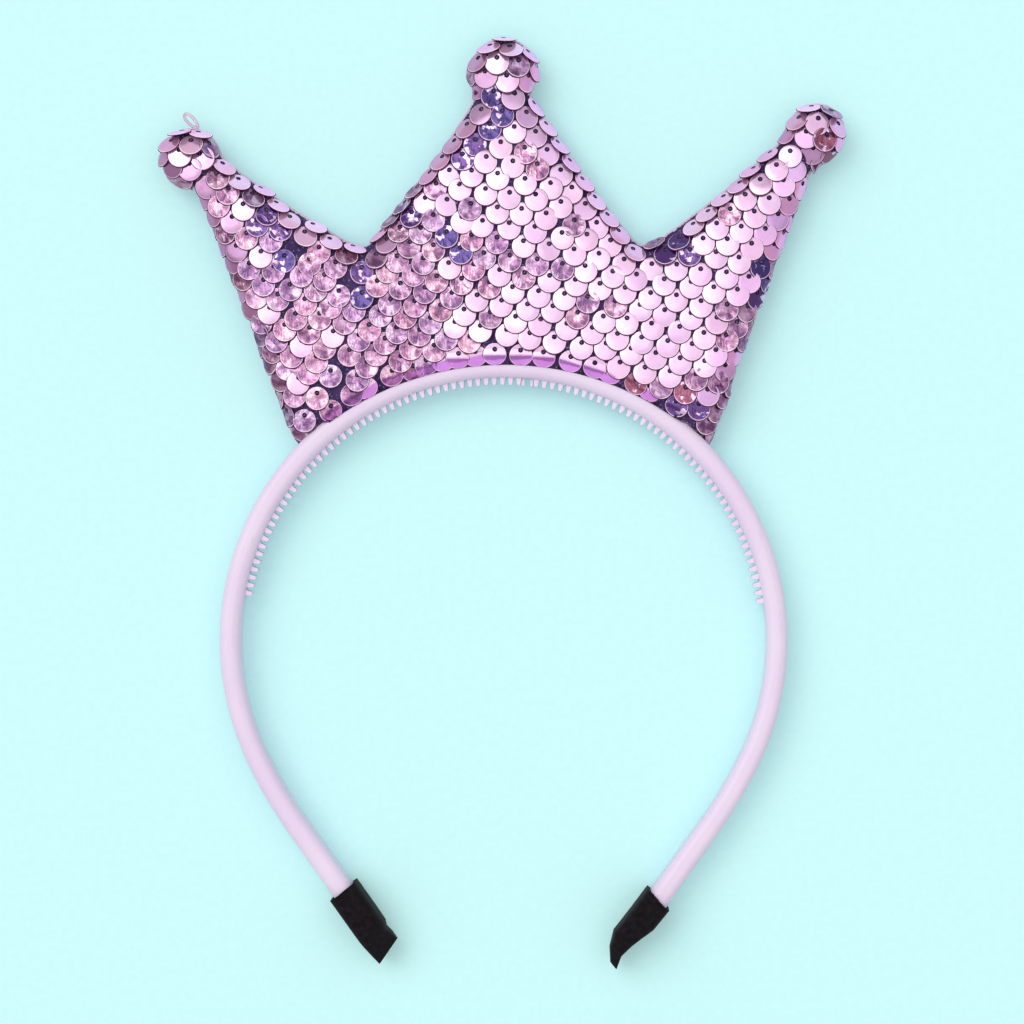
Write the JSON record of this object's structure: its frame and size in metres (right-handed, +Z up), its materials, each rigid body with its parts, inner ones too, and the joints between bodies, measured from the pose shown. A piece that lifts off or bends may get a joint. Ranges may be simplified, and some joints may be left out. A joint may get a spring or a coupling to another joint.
{
  "type": "mini crown headband",
  "caption": "Plastic headband with inner comb teeth, a small stuffed sequin crown with round-tipped peaks on top, and ribbon sleeves on its ends.",
  "frame": {"origin": "centre of the head arc, on the surface that the headband lies on", "axes": "+Y from the head arc to the crown's peaks, +X to the viewer's right, +Z up from the surface to the sequined front"},
  "size_m": [0.145, 0.1969, 0.0115],
  "materials": {
    "band_plastic": "satin lilac moulded plastic",
    "sequin_fabric": "overlapping shiny pink and violet sequins on lilac cloth",
    "black_ribbon": "fine ribbed woven ribbon, slightly shiny",
    "clear_thread": "thin translucent pink thread"
  },
  "bodies": {
    "root": {"headband": "band_plastic", "crown": "sequin_fabric", "left_tip": "black_ribbon", "right_tip": "black_ribbon"}
  },
  "joints": []
}
